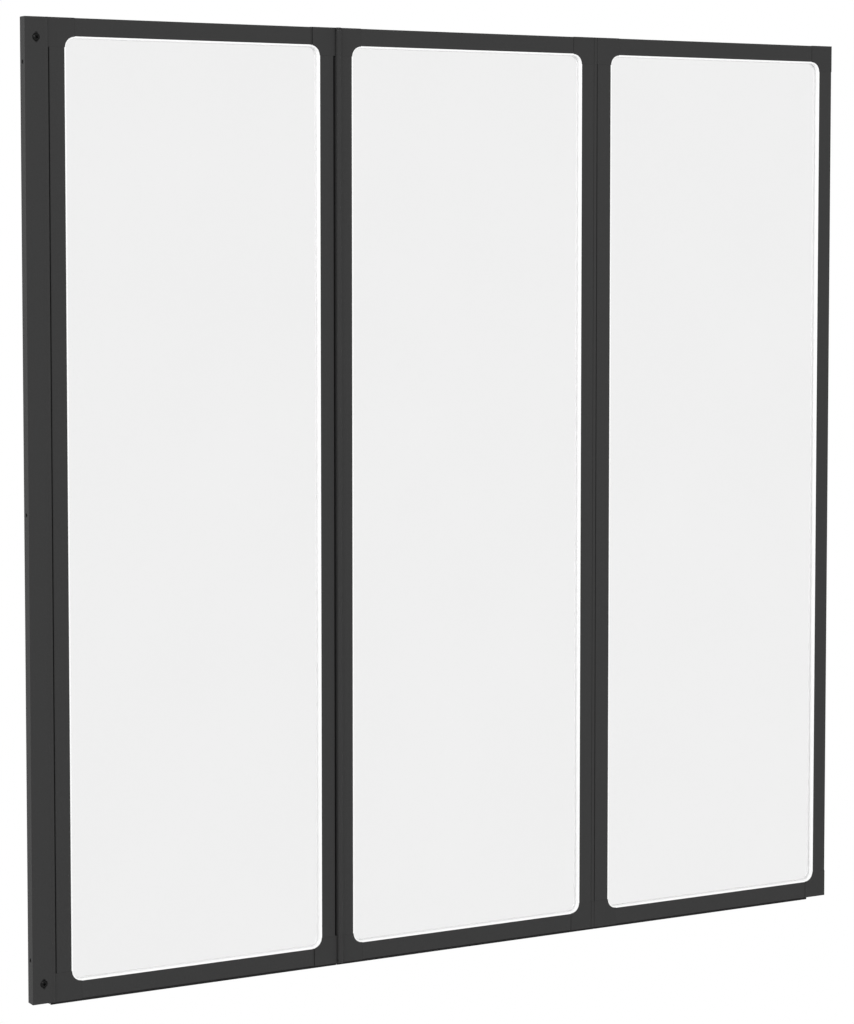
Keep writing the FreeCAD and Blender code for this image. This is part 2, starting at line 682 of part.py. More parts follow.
def glass(panel):
    body = doc.addObject("PartDesign::Body", panel + "_glass")
    outline = sketch_on(body, "XZ_Plane")
    glazing_outline(outline, "glass_bite")
    feature(body, "Pad", outline, "glass_thickness")
    place(body, x="%s_left + opening_width / 2" % panel)
    keep(panel + "_glass", body)


def gasket(panel):
    body = doc.addObject("PartDesign::Body", panel + "_gasket")
    ring = sketch_on(body, "XZ_Plane")
    glazing_outline(ring, "(glazing_depth - gasket_clear)")
    glazing_outline(ring, "(-gasket_lip)")
    feature(body, "Pad", ring, "2 * (channel_half - gasket_clear)")
    lips = sketch_on(body, "XZ_Plane")
    glazing_outline(lips, "(-corner_lip - gasket_clear)")
    glazing_outline(lips, "(-gasket_lip)")
    feature(body, "Pad", lips, "2 * (profile_half - gasket_sink)")
    slot = sketch_on(body, "XZ_Plane")
    glazing_outline(slot, "glass_bite")
    feature(body, "Pocket", slot, "glass_thickness")
    place(body, x="%s_left + opening_width / 2" % panel)
    keep(panel + "_gasket", body)


def drip_seal(panel, start, stop):
    name = panel + "_drip_seal"
    centre = "%s_left + opening_width / 2" % panel
    stem_span = (centre + " - stem_half", centre + " + stem_half")
    slot_top = "-half_height + corner_proud + wall + drip_clear"
    blade = doc.addObject("PartDesign::Body", name + "_blade")
    section = sketch_on(blade, "YZ_Plane")
    polygon(section, [
        ("-drip_width / 2", "-drip_clear"), ("-drip_width / 2", "-drip_drop + drip_taper"),
        ("-drip_width / 2 + drip_taper", "-drip_drop"), ("drip_width / 2 - drip_taper", "-drip_drop"),
        ("drip_width / 2", "-drip_drop + drip_taper"), ("drip_width / 2", "-drip_clear")])
    feature(blade, "Pad", section, "(%s) - (%s)" % (stop, start))
    place(blade, x="((%s) + (%s)) / 2" % (start, stop), z="-half_height")
    stem = box(name + "_stem", stem_span, both_ways("drip_slot / 2 - drip_clear"),
               ("-half_height - drip_clear", slot_top))
    head = box(name + "_head", stem_span, both_ways("drip_head_width / 2"),
               (slot_top, slot_top + " + drip_head_height"))
    keep(name, fuse(name, [blade, stem, head]))


# Hinges: pins ride with the ears, bushes with the knuckles, seals with the stiles that have ears

def hinge_pins(name, axis, side):
    depth = spot("0", side, "axis_depth")
    pins = []
    for end in (top, bottom):
        reach = span("0", end, "half_height - ear_stack - bush_length + pin_short", "half_height")
        pins.append(rod("%s_%s_pin" % (name, end_names[end]), "pin_radius", axis, depth, reach))
    group(name + "_pins", pins)


def hinge_bushes(name, axis, side):
    depth = spot("0", side, "axis_depth")
    bushes = []
    for end in (top, bottom):
        own = "%s_%s_bush" % (name, end_names[end])
        collar = span("0", end, "half_height - ear_stack", "half_height - ear_stack + flange_thickness")
        whole = span("0", end, "half_height - ear_stack - bush_length",
                     "half_height - ear_stack + flange_thickness")
        sleeve = rod(own + "_sleeve", "bush_radius", axis, depth, whole)
        flange = rod(own + "_flange", "flange_radius", axis, depth, collar)
        bore = rod(own + "_bore", "pin_radius + running_clear", axis, depth, whole)
        bushes.append(cut(own, fuse(own + "_solid", [sleeve, flange]), [bore]))
    group(name + "_bushes", bushes)


def hinge_seal(name, panel, hand, side, relief):
    origin = "%s_%s" % (panel, hand_names[hand])
    root, tip = "stile_width - %s - seal_seat" % relief, "stile_width + seam - seal_clear"
    strip = box(name + "_seal", span(origin, hand, root, tip),
                span("0", -side, "seal_start", "seal_start + seal_width"), both_ways("stile_length / 2"))
    keep(name + "_seal", strip)


wall_channel()
hinge_post()
post_block(top)
post_block(bottom)
lock_screws()

# Each panel's two edges: what it carries there, and the side that the hinge is on
panels = {
    "inner": {left: ("ears", back, "inner_relief"), right: ("ears", front, "inner_relief")},
    "middle": {left: ("barrel", front, "0"), right: ("barrel", back, "0")},
    "outer": {left: ("ears", back, "outer_relief"), right: ("free", back, "0")},
}
for panel, edges in panels.items():
    glass(panel)
    gasket(panel)
    rail(panel, top)
    rail(panel, bottom)
    for hand, (kind, side, relief) in edges.items():
        stile(panel, hand, kind, side, relief)
        corner(panel, top, hand, kind, side)
        corner(panel, bottom, hand, kind, side)
    corner_screws(panel, {hand: edge[0] for hand, edge in edges.items()})
drip_gap = "barrel_radius + seam + outer_relief"
drip_seal("inner", "drip_start", "middle_axis - (%s)" % drip_gap)
drip_seal("middle", "middle_axis - barrel_radius", "outer_axis + barrel_radius")
drip_seal("outer", "outer_axis + " + drip_gap, "outer_right - drip_end")

for name, axis, side in (("wall_hinge", "wall_axis", back), ("middle_hinge", "middle_axis", front),
                         ("outer_hinge", "outer_axis", back)):
    hinge_pins(name, axis, side)
    hinge_bushes(name, axis, side)
hinge_seal("wall_hinge", "inner", left, back, "inner_relief")
hinge_seal("middle_hinge", "inner", right, front, "inner_relief")
hinge_seal("outer_hinge", "outer", left, back, "outer_relief")

doc.recompute()
for item in doc.Objects:
    if "Invalid" in item.State or "Error" in item.State:
        raise RuntimeError("%s is in state %s" % (item.Name, item.State))
for label, item in parts.items():
    if item.Shape.isNull() or not item.Shape.isValid():
        raise RuntimeError(label + " has no valid shape")

os.makedirs("parts", exist_ok=True)
for label, item in parts.items():
    item.Shape.exportStep("parts/%s.step" % label)
    print("%-32s %d solid(s) %12.1f mm3" % (label, len(item.Shape.Solids), item.Shape.Volume))
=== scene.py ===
import json
import math

import bmesh
import bpy
from mathutils import Matrix, Vector


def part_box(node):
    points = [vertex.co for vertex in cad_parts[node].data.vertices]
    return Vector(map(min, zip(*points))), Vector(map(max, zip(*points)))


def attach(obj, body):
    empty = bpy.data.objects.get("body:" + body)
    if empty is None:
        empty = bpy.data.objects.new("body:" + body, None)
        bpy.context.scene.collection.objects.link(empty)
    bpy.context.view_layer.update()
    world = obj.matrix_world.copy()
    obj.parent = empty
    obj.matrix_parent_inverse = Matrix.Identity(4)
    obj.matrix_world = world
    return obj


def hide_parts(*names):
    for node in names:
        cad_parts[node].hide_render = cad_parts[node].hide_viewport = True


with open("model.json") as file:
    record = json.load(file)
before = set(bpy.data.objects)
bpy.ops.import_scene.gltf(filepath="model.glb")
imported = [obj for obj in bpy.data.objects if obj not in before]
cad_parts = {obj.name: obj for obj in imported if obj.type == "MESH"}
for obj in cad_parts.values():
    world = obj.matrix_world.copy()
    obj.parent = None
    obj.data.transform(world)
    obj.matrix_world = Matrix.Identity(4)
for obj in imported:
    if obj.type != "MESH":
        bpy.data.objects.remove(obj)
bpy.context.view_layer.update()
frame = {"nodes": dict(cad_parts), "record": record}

scene = bpy.context.scene
nodes = frame["nodes"]
mm = 0.001
panelNames = ("inner", "middle", "outer")
print("frame loaded:", len(nodes), "nodes")


def linear(hexText):
    # sRGB hex to the linear colour that a shader takes
    parts = [int(hexText[i:i + 2], 16) / 255 for i in (1, 3, 5)]
    return tuple(c / 12.92 if c <= 0.04045 else ((c + 0.055) / 1.055) ** 2.4 for c in parts) + (1.0,)


def addNode(tree, kind, settings, links):
    # one node with its settings; a setting that isn't an input is a property of the node
    made = tree.nodes.new(kind)
    for name, value in settings.items():
        if isinstance(name, str) and hasattr(made, name):
            setattr(made, name, value)
        else:
            made.inputs[name].default_value = value
    for name, source in links.items():
        tree.links.new(source, made.inputs[name])
    return made


def startMaterial(name):
    # an empty material, with the object's own coordinates in metres
    material = bpy.data.materials.new(name)
    material.use_nodes = True
    tree = material.node_tree
    tree.nodes.clear()
    place = addNode(tree, "ShaderNodeTexCoord", {}, {}).outputs["Object"]
    return material, tree, place


def finishMaterial(tree, settings, links):
    shader = addNode(tree, "ShaderNodeBsdfPrincipled", settings, links)
    addNode(tree, "ShaderNodeOutputMaterial", {}, {"Surface": shader.outputs["BSDF"]})


coat = {
    "low": "#333333", "high": "#373737",  # the powder's two tones, a shade apart
    "spread": (0.3, 0.7),  # where in the peel's noise the two tones lie
    "grain": 1.6 * mm,  # orange peel, drawn about twice as coarse as real so that it shows
    "cloud": 111 * mm,  # slow change in its sheen along a profile
    "rough": (0.52, 0.62), "specular": 0.1, "bump": 0.12, "depth": 0.06 * mm,
}


def powderCoatedAluminium():
    # satin powder coat: even and dark, with a faint orange peel that breaks up its sheen
    material, tree, place = startMaterial("powder_coated_aluminium")
    peel = addNode(tree, "ShaderNodeTexNoise",
                   {"Scale": 1 / coat["grain"], "Detail": 2.0, "Roughness": 0.5}, {"Vector": place})
    cloud = addNode(tree, "ShaderNodeTexNoise", {"Scale": 1 / coat["cloud"], "Detail": 3.0},
                    {"Vector": place})
    tone = addNode(tree, "ShaderNodeValToRGB", {}, {"Fac": peel.outputs["Fac"]})
    tone.color_ramp.elements[0].color = linear(coat["low"])
    tone.color_ramp.elements[1].color = linear(coat["high"])
    tone.color_ramp.elements[0].position = coat["spread"][0]
    tone.color_ramp.elements[1].position = coat["spread"][1]
    rough = addNode(tree, "ShaderNodeMapRange",
                    {"To Min": coat["rough"][0], "To Max": coat["rough"][1]}, {"Value": cloud.outputs["Fac"]})
    bump = addNode(tree, "ShaderNodeBump", {"Strength": coat["bump"], "Distance": coat["depth"]},
                   {"Height": peel.outputs["Fac"]})
    finishMaterial(tree, {"Specular IOR Level": coat["specular"]},
                   {"Base Color": tone.outputs["Color"], "Roughness": rough.outputs["Result"],
                    "Normal": bump.outputs["Normal"]})
    return material


nylon = {
    "low": "#333333", "high": "#363636",
    "grain": 0.9 * mm,  # eroded mould texture
    "flow": 25 * mm,  # marks of the plastic's flow
    "rough": (0.56, 0.68), "specular": 0.1, "bump": 0.1, "depth": 0.05 * mm,
}


def mouldedNylon():
    # glass-filled nylon from a spark-eroded mould: a fine even grain, a little duller than the coat
    material, tree, place = startMaterial("moulded_nylon")
    spark = addNode(tree, "ShaderNodeTexVoronoi",
                    {"Scale": 1 / nylon["grain"], "feature": "SMOOTH_F1"}, {"Vector": place})
    flow = addNode(tree, "ShaderNodeTexNoise", {"Scale": 1 / nylon["flow"], "Detail": 3.0},
                   {"Vector": place})
    tone = addNode(tree, "ShaderNodeValToRGB", {}, {"Fac": flow.outputs["Fac"]})
    tone.color_ramp.elements[0].color = linear(nylon["low"])
    tone.color_ramp.elements[1].color = linear(nylon["high"])
    rough = addNode(tree, "ShaderNodeMapRange",
                    {"To Min": nylon["rough"][0], "To Max": nylon["rough"][1]},
                    {"Value": flow.outputs["Fac"]})
    bump = addNode(tree, "ShaderNodeBump", {"Strength": nylon["bump"], "Distance": nylon["depth"]},
                   {"Height": spark.outputs["Distance"]})
    finishMaterial(tree, {"Specular IOR Level": nylon["specular"]},
                   {"Base Color": tone.outputs["Color"], "Roughness": rough.outputs["Result"],
                    "Normal": bump.outputs["Normal"]})
    return material


pane = {
    "tint": ("#EEEEEE", "#F0F0F0"),  # slightly grey float glass
    "shade": "#F7F7F7",  # what each face lets through of a lamp's light
    "wave": 180 * mm, "bump": 0.02, "depth": 0.02 * mm,  # the long ripple of toughened glass
}


def toughenedGlass():
    # clear toughened glass: a faint grey cast, and a long slow ripple in its reflections
    material, tree, place = startMaterial("toughened_glass")
    ripple = addNode(tree, "ShaderNodeTexNoise", {"Scale": 1 / pane["wave"], "Detail": 1.0},
                     {"Vector": place})
    tone = addNode(tree, "ShaderNodeValToRGB", {}, {"Fac": ripple.outputs["Fac"]})
    tone.color_ramp.elements[0].color = linear(pane["tint"][0])
    tone.color_ramp.elements[1].color = linear(pane["tint"][1])
    bump = addNode(tree, "ShaderNodeBump", {"Strength": pane["bump"], "Distance": pane["depth"]},
                   {"Height": ripple.outputs["Fac"]})
    glass = addNode(tree, "ShaderNodeBsdfPrincipled",
                    {"Transmission Weight": 1.0, "IOR": 1.5, "Roughness": 0.0},
                    {"Base Color": tone.outputs["Color"], "Normal": bump.outputs["Normal"]})
    # lamps shine through, so that what is behind the pane is lit as in a room
    clear = addNode(tree, "ShaderNodeBsdfTransparent", {"Color": linear(pane["shade"])}, {})
    ray = addNode(tree, "ShaderNodeLightPath", {}, {})
    mixed = addNode(tree, "ShaderNodeMixShader", {},
                    {0: ray.outputs["Is Shadow Ray"], 1: glass.outputs["BSDF"], 2: clear.outputs["BSDF"]})
    addNode(tree, "ShaderNodeOutputMaterial", {}, {"Surface": mixed.outputs["Shader"]})
    return material


vinyl = {
    "low": "#F6F6F6", "high": "#FCFCFC",
    "grain": 0.5 * mm,  # matt grain left by the die
    "cloud": 40 * mm,  # slow change in its white
    "rough": 0.5, "specular": 0.4, "bump": 0.1, "depth": 0.03 * mm,
}


def whiteVinyl():
    # soft extruded vinyl: opaque white with a low sheen, slightly cloudy, with a fine matt grain
    material, tree, place = startMaterial("white_vinyl")
    grain = addNode(tree, "ShaderNodeTexNoise", {"Scale": 1 / vinyl["grain"], "Detail": 1.0},
                    {"Vector": place})
    cloud = addNode(tree, "ShaderNodeTexNoise", {"Scale": 1 / vinyl["cloud"], "Detail": 2.0},
                    {"Vector": place})
    tone = addNode(tree, "ShaderNodeValToRGB", {}, {"Fac": cloud.outputs["Fac"]})
    tone.color_ramp.elements[0].color = linear(vinyl["low"])
    tone.color_ramp.elements[1].color = linear(vinyl["high"])
    bump = addNode(tree, "ShaderNodeBump", {"Strength": vinyl["bump"], "Distance": vinyl["depth"]},
                   {"Height": grain.outputs["Fac"]})
    finishMaterial(tree, {"Roughness": vinyl["rough"], "Specular IOR Level": vinyl["specular"]},
                   {"Base Color": tone.outputs["Color"], "Normal": bump.outputs["Normal"]})
    return material


rubber = {
    "low": "#161616", "high": "#1E1E1E",
    "streak": (18.0, 900.0, 900.0),  # per metre: long along the drip seals, about 1 mm across them
    "rough": (0.6, 0.78), "specular": 0.15, "bump": 0.15, "depth": 0.05 * mm,
}


def sealRubber():
    # black extruded rubber: dull, with streaks along its length
    material, tree, place = startMaterial("seal_rubber")
    stretched = addNode(tree, "ShaderNodeMapping", {"Scale": rubber["streak"]}, {"Vector": place})
    streaks = addNode(tree, "ShaderNodeTexNoise", {"Scale": 1.0, "Detail": 3.0},
                      {"Vector": stretched.outputs["Vector"]})
    tone = addNode(tree, "ShaderNodeValToRGB", {}, {"Fac": streaks.outputs["Fac"]})
    tone.color_ramp.elements[0].color = linear(rubber["low"])
    tone.color_ramp.elements[1].color = linear(rubber["high"])
    rough = addNode(tree, "ShaderNodeMapRange",
                    {"To Min": rubber["rough"][0], "To Max": rubber["rough"][1]},
                    {"Value": streaks.outputs["Fac"]})
    bump = addNode(tree, "ShaderNodeBump", {"Strength": rubber["bump"], "Distance": rubber["depth"]},
                   {"Height": streaks.outputs["Fac"]})
    finishMaterial(tree, {"Specular IOR Level": rubber["specular"]},
                   {"Base Color": tone.outputs["Color"], "Roughness": rough.outputs["Result"],
                    "Normal": bump.outputs["Normal"]})
    return material


oxide = {
    "low": "#1A1A1A", "high": "#262626",
    "grain": 0.7 * mm, "rough": (0.15, 0.25), "bump": 0.2, "depth": 0.04 * mm,
}


def blackSteel():
    # black zinc on pressed steel: dark, with a hard small shine
    material, tree, place = startMaterial("black_zinc_steel")
    mottle = addNode(tree, "ShaderNodeTexNoise", {"Scale": 1 / oxide["grain"], "Detail": 3.0},
                     {"Vector": place})
    tone = addNode(tree, "ShaderNodeValToRGB", {}, {"Fac": mottle.outputs["Fac"]})
    tone.color_ramp.elements[0].color = linear(oxide["low"])
    tone.color_ramp.elements[1].color = linear(oxide["high"])
    rough = addNode(tree, "ShaderNodeMapRange",
                    {"To Min": oxide["rough"][0], "To Max": oxide["rough"][1]},
                    {"Value": mottle.outputs["Fac"]})
    bump = addNode(tree, "ShaderNodeBump", {"Strength": oxide["bump"], "Distance": oxide["depth"]},
                   {"Height": mottle.outputs["Fac"]})
    finishMaterial(tree, {"Metallic": 1.0},
                   {"Base Color": tone.outputs["Color"], "Roughness": rough.outputs["Result"],
                    "Normal": bump.outputs["Normal"]})
    return material


pin = {
    "low": "#A9A9A6", "high": "#C4C4C0", "rough": (0.22, 0.38),
    "ring": 0.6 * mm,  # along the rod
    "across": 60.0,  # per metre, slow enough that a ring stays even all round
}


def groundSteel():
    # stainless rod, ground round: bright, with fine rings around it
    material, tree, place = startMaterial("ground_stainless_steel")
    stretched = addNode(tree, "ShaderNodeMapping",
                        {"Scale": (pin["across"], pin["across"], 1 / pin["ring"])}, {"Vector": place})
    rings = addNode(tree, "ShaderNodeTexNoise", {"Scale": 1.0, "Detail": 2.0},
                    {"Vector": stretched.outputs["Vector"]})
    tone = addNode(tree, "ShaderNodeValToRGB", {}, {"Fac": rings.outputs["Fac"]})
    tone.color_ramp.elements[0].color = linear(pin["low"])
    tone.color_ramp.elements[1].color = linear(pin["high"])
    rough = addNode(tree, "ShaderNodeMapRange",
                    {"To Min": pin["rough"][0], "To Max": pin["rough"][1]}, {"Value": rings.outputs["Fac"]})
    finishMaterial(tree, {"Metallic": 1.0},
                   {"Base Color": tone.outputs["Color"], "Roughness": rough.outputs["Result"]})
    return material


acetal = {"low": "#1E1E1E", "high": "#262626", "grain": 1.2 * mm, "rough": (0.35, 0.5)}


def blackAcetal():
    # turned acetal: black and a little waxy
    material, tree, place = startMaterial("black_acetal")
    grain = addNode(tree, "ShaderNodeTexNoise", {"Scale": 1 / acetal["grain"], "Detail": 2.0},
                    {"Vector": place})
    tone = addNode(tree, "ShaderNodeValToRGB", {}, {"Fac": grain.outputs["Fac"]})
    tone.color_ramp.elements[0].color = linear(acetal["low"])
    tone.color_ramp.elements[1].color = linear(acetal["high"])
    rough = addNode(tree, "ShaderNodeMapRange",
                    {"To Min": acetal["rough"][0], "To Max": acetal["rough"][1]},
                    {"Value": grain.outputs["Fac"]})
    finishMaterial(tree, {}, {"Base Color": tone.outputs["Color"], "Roughness": rough.outputs["Result"]})
    return material


slotMaterials = {
    "frame_coat": powderCoatedAluminium(),
    "corner_plastic": mouldedNylon(),
    "pane_glass": toughenedGlass(),
    "gasket_white": whiteVinyl(),
    "seal_rubber": sealRubber(),
    "screw_black": blackSteel(),
    "pin_steel": groundSteel(),
    "bush_acetal": blackAcetal(),
}
for row in frame["record"]["subparts"]:
    nodes[row["node"]].material_slots[0].material = slotMaterials[row["material_slot"]]
print("materials:", len(slotMaterials))


def addPiece(name, bm, body, slot, replaced):
    # a finished mesh, riding on its body in place of a CAD node
    mesh = bpy.data.meshes.new(name)
    bmesh.ops.recalc_face_normals(bm, faces=bm.faces)
    bm.to_mesh(mesh)
    bm.free()
    mesh.materials.append(slotMaterials[slot])
    piece = bpy.data.objects.new(name, mesh)
    scene.collection.objects.link(piece)
    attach(piece, body)
    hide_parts(replaced)
    return piece


# Glazing beads: one soft ring on each side of a pane
quarters = ((-1, -1), (1, -1), (1, 1), (-1, 1))
bead = {
    "halfWidth": 187.5, "halfHeight": 624.5, "radius": 14.5,  # the opening in its frame, mm
    "arcSteps": 10, "weld": 0.01,  # points closer than this are joined, mm
    "crease": 50,  # degrees past which an edge stays sharp
    # the beads' sections: past the opening's edge, and depth from the middle of the pane
    # the front bead's lip is wide and leans in; the back bead's stays behind it
    "front": ((4.0, 1.55), (-3.1, 1.55), (-3.2, 1.65), (-3.0, 5.4), (-2.8, 6.5), (-2.4, 7.1),
              (-1.9, 7.4), (-0.2, 7.4), (-0.2, 6.2), (4.0, 6.2)),
    "back": ((4.0, 1.55), (-2.1, 1.55), (-2.2, 1.65), (-2.3, 5.8), (-2.2, 6.7), (-1.8, 7.2),
             (-1.2, 7.4), (-0.2, 7.4), (-0.2, 6.2), (4.0, 6.2)),
}


def beadLoop(bm, centre, grow, depth):
    # one rounded rectangle: four corners, bevelled to arcs
    w, h, r = bead["halfWidth"] + grow, bead["halfHeight"] + grow, bead["radius"] + grow
    corners = [bm.verts.new((centre + x * w * mm, depth * mm, z * h * mm)) for x, z in quarters]
    before = set(bm.edges)
    for i in range(4):
        bm.edges.new((corners[i], corners[(i + 1) % 4]))
    bmesh.ops.bevel(bm, geom=corners, offset=r * mm, offset_type="OFFSET", segments=bead["arcSteps"],
                    profile=0.5, affect="VERTICES", material=-1)
    return [e for e in bm.edges if e not in before]


def glazingBeads(panel):
    low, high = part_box(panel + "_glass")
    centre = (low.x + high.x) / 2
    inset = {"x": bead["halfWidth"] - bead["radius"], "z": bead["halfHeight"] - bead["radius"]}
    bm = bmesh.new()
    for side, section in ((-1, bead["front"]), (1, bead["back"])):
        here = section[0]
        ring = beadLoop(bm, centre, here[0], side * here[1])
        for there in section[1:] + section[:1]:
            made = bmesh.ops.extrude_edge_only(bm, edges=ring)["geom"]
            fresh = [v for v in made if isinstance(v, bmesh.types.BMVert)]
            ring = [e for e in made if isinstance(e, bmesh.types.BMEdge) and set(e.verts) <= set(fresh)]
            bmesh.ops.translate(bm, verts=fresh, vec=(0, side * (there[1] - here[1]) * mm, 0))
            wider = (bead["radius"] + there[0]) / (bead["radius"] + here[0])
            for x, z in quarters:
                # each corner's arc grows about its own centre, and the straight sides follow
                arc = [v for v in fresh if (v.co.x - centre) * x > 0 and v.co.z * z > 0]
                middle = Vector((centre + x * inset["x"] * mm, 0, z * inset["z"] * mm))
                bmesh.ops.scale(bm, verts=arc, vec=(wider, 1, wider), space=Matrix.Translation(-middle))
            here = there
    bmesh.ops.remove_doubles(bm, verts=bm.verts, dist=bead["weld"] * mm)
    for face in bm.faces:
        face.smooth = True
    piece = addPiece(panel + "_glazing_beads", bm, panel + "_panel", "gasket_white", panel + "_gasket")
    piece.data.set_sharp_from_angle(angle=math.radians(bead["crease"]))


for panelName in panelNames:
    glazingBeads(panelName)
print("glazing beads made")


# Drip seals: a flat strip under the bottom rail with three fins
drip = {
    "halfWidth": 7.2, "height": 2.9, "plate": 1.0,  # mm
    "fins": (-6.4, 0.0, 6.4), "fin": 1.6, "finTip": 0.8,
}


def dripSeal(panel):
    low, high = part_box(panel + "_drip_seal")
    bottom, length = low.z, high.x - low.x
    top = bottom + drip["height"] * mm
    half = drip["halfWidth"] * mm
    bm = bmesh.new()
    outline = [(half, top), (-half, top)]
    for fin in drip["fins"]:
        root, tip = drip["fin"] / 2 * mm, drip["finTip"] / 2 * mm
        outline += [(fin * mm - root, top - drip["plate"] * mm), (fin * mm - tip, bottom),
                    (fin * mm + tip, bottom), (fin * mm + root, top - drip["plate"] * mm)]
    verts = [bm.verts.new((low.x, y, z)) for y, z in outline]
    end = bm.faces.new(verts)
    made = bmesh.ops.extrude_face_region(bm, geom=[end])
    moved = [v for v in made["geom"] if isinstance(v, bmesh.types.BMVert)]
    bmesh.ops.translate(bm, verts=moved, vec=(length, 0, 0))
    addPiece(panel + "_drip_strip", bm, panel + "_panel", "seal_rubber", panel + "_drip_seal")


for panelName in panelNames:
    dripSeal(panelName)
print("drip seals made")


# Cross-head screws with a domed head, in place of the CAD's flat heads
screw = {
    # a head of radius 1, whose dome is part of a ball: height in front of the rim, and where it ends
    "dome": 0.45, "domeReach": 0.95, "domeSteps": 6,
    # the half section from there on: radius, and depth behind the rim
    "section": ((1.0, 0.05), (1.0, 0.1), (0.5, 0.55), (0, 0.55)),
    "steps": 28, "weld": 1e-5, "crease": 35,
    # the cross: half length and half width of an arm, depth from the dome's top, narrowing at its bottom
    "recess": 0.56, "recessWidth": 0.2, "recessDepth": 0.6, "taper": 0.55,
    "firstTurn": 0.5, "nextTurn": 1.1,  # radians, so that no two crosses stand alike
}
lockScrews = {
    "rise": 1.0,  # the dome at its full height
    "radius": 5.0, "face": -7.5, "x": 16.0, "z": 622.0,  # mm
}
cornerScrews = {
    "rise": 0.45,  # a flatter dome, so that the heads clear each other when the panels are folded
    "radius": 2.9, "face": 7.7,  # mm, as are the rest; the heads lie on the back of the frame
    "railZ": 641.35, "railIn": 24.5,  # on the rails, from the opening's sides
    "stileZ": 600.0,  # on the stiles, out from the opening's left and right sides
    "stileOut": {"inner": (15.16, 15.16), "middle": (14.4, 14.4), "outer": (15.16, 16.0)},
    "bite": 7.0,  # the pane's edge behind the frame's opening
}


def screwMesh():
    # a head of radius 1 that faces -Y: a spun section, less a tapered cross
    head = bmesh.new()
    ball = (1 + screw["dome"] ** 2) / (2 * screw["dome"])  # the radius of the dome's ball
    radii = [screw["domeReach"] * step / screw["domeSteps"] for step in range(screw["domeSteps"] + 1)]
    section = [(r, ball - screw["dome"] - math.sqrt(ball ** 2 - r ** 2)) for r in radii]
    section += screw["section"]
    verts = [head.verts.new((x, y, 0)) for x, y in section]
    edges = [head.edges.new(pair) for pair in zip(verts, verts[1:])]
    bmesh.ops.spin(head, geom=verts + edges, cent=(0, 0, 0), axis=(0, 1, 0), angle=math.tau,
                   steps=screw["steps"], use_merge=True)
    bmesh.ops.remove_doubles(head, verts=head.verts, dist=screw["weld"])
    bmesh.ops.recalc_face_normals(head, faces=head.faces)
    headMesh = bpy.data.meshes.new("screw_head")
    head.to_mesh(headMesh)
    head.free()
    cross = bmesh.new()
    reach, wide, deep = screw["recess"], screw["recessWidth"], screw["recessDepth"]
    for turn in (0, math.pi / 2):
        made = bmesh.ops.create_cube(cross, size=2.0)["verts"]
        bmesh.ops.scale(cross, verts=made, vec=(reach, deep, wide))
        inner = [v for v in made if v.co.y > 0]
        bmesh.ops.scale(cross, verts=inner, vec=(screw["taper"], 1, screw["taper"]))
        bmesh.ops.translate(cross, verts=made, vec=(0, -screw["dome"], 0))
        bmesh.ops.rotate(cross, verts=made, cent=(0, 0, 0), matrix=Matrix.Rotation(turn, 3, "Y"))
    crossMesh = bpy.data.meshes.new("screw_cross")
    cross.to_mesh(crossMesh)
    cross.free()
    headObject = bpy.data.objects.new("screw_head", headMesh)
    crossObject = bpy.data.objects.new("screw_cross", crossMesh)
    for made in (headObject, crossObject):
        scene.collection.objects.link(made)
    cutter = headObject.modifiers.new("recess", "BOOLEAN")
    cutter.object = crossObject
    cutter.operation = "DIFFERENCE"
    cutter.solver = "EXACT"
    cutter.use_self = True
    graph = bpy.context.evaluated_depsgraph_get()
    finished = bpy.data.meshes.new_from_object(headObject.evaluated_get(graph))
    for made in (headObject, crossObject):
        bpy.data.objects.remove(made)
    return finished


screwShape = screwMesh()


def screwSet(name, kind, places, facing, body, replaced):
    bm = bmesh.new()
    for number, place in enumerate(places):
        before = set(bm.verts)
        bm.from_mesh(screwShape)
        fresh = [v for v in bm.verts if v not in before]
        turn = screw["firstTurn"] + screw["nextTurn"] * number
        bmesh.ops.rotate(bm, verts=fresh, cent=(0, 0, 0), matrix=Matrix.Rotation(turn, 3, "Y"))
        if facing > 0:
            bmesh.ops.rotate(bm, verts=fresh, cent=(0, 0, 0), matrix=Matrix.Rotation(math.pi, 3, "Z"))
        size = kind["radius"] * mm
        bmesh.ops.scale(bm, verts=fresh, vec=(size, size * kind["rise"], size))
        bmesh.ops.translate(bm, verts=fresh, vec=Vector(place) * mm)
    for face in bm.faces:
        face.smooth = True
    piece = addPiece(name, bm, body, "screw_black", replaced)
    piece.data.set_sharp_from_angle(angle=math.radians(screw["crease"]))


places = [(lockScrews["x"], lockScrews["face"], end * lockScrews["z"]) for end in (1, -1)]
screwSet("wall_lock_screws", lockScrews, places, -1, "wall", "lock_screws")
for panelName in panelNames:
    low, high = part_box(panelName + "_glass")
    left, right = low.x / mm + cornerScrews["bite"], high.x / mm - cornerScrews["bite"]
    leftOut, rightOut = cornerScrews["stileOut"][panelName]
    railX = (left + cornerScrews["railIn"], right - cornerScrews["railIn"])
    stileX = (left - leftOut, right + rightOut)
    places = []
    for end in (1, -1):
        places += [(x, cornerScrews["face"], end * cornerScrews["railZ"]) for x in railX]
        places += [(x, cornerScrews["face"], end * cornerScrews["stileZ"]) for x in stileX]
    screwSet(panelName + "_frame_screws", cornerScrews, places, 1, panelName + "_panel",
             panelName + "_corner_screws")
print("screws made")


# Floor, light and camera
screenMiddle = Vector((0.65, 0, 0))
floor = {
    "z": -1.25,  # well below, as beside a bath
    "radius": 9.0, "fade": (0.8, 1.7),  # metres
    "segments": 64, "shade": "#F4F4F4",
}


